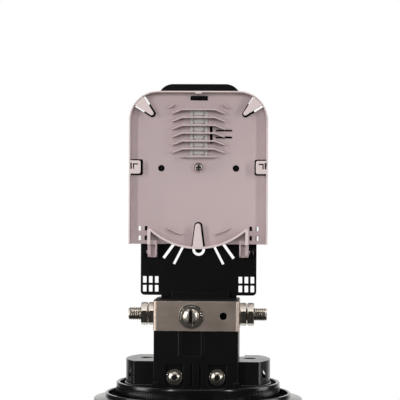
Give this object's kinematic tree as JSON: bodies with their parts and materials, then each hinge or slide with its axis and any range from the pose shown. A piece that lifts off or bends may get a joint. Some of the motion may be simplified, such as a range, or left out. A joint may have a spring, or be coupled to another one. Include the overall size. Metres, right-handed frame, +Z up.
{
  "type": "dome splice closure",
  "caption": "Opened dome splice closure: round sealed base with cable ports, frame with strength-member bracket and studs, and a hinged fibre splice tray with comb.",
  "frame": {"origin": "centre of the base, on the standing face", "axes": "+Z up along the closure's axis, -Y towards the front of the tray, +X to the tray's right seen from the front"},
  "size_m": [0.16, 0.16, 0.293],
  "materials": {
    "black_gloss_plastic": "glossy moulded",
    "black_plastic": "satin moulded",
    "seal_rubber": "matte",
    "seal_gel": "soft, slightly glossy",
    "zinc_steel": "zinc plated",
    "brushed_bracket_steel": "brushed stainless",
    "stud_steel": "turned",
    "tray_plastic": "satin moulded, mauve grey",
    "holder_plastic": "satin moulded, greenish grey"
  },
  "bodies": {
    "closure": {"base_shell": "black_gloss_plastic", "dome_gasket": "seal_rubber", "lower_pressure_plate": "black_plastic", "gel_block": "seal_gel", "upper_pressure_plate": "black_plastic", "port_plugs": "seal_rubber", "seal_bolts": "zinc_steel", "seal_housing": "black_gloss_plastic", "frame_column": "black_plastic", "foot_washers": "zinc_steel", "foot_screws": "zinc_steel", "strength_bracket": "brushed_bracket_steel", "clamp_flat_washer": "zinc_steel", "clamp_spring_washer": "zinc_steel", "clamp_screw": "zinc_steel", "stud_left": "stud_steel", "stud_right": "stud_steel", "thin_nuts": "stud_steel", "carrier_plate": "black_plastic", "plate_screws": "zinc_steel"},
    "tray": {"splice_tray": "tray_plastic", "splice_holder": "holder_plastic", "tray_screw": "zinc_steel"}
  },
  "joints": [
    {"name": "tray_hinge", "type": "hinge", "parent": "closure", "child": "tray", "pos_m": [0, -0.0085, 0.1638], "axis": [1, 0, 0], "range_deg": [0, 90]}
  ]
}
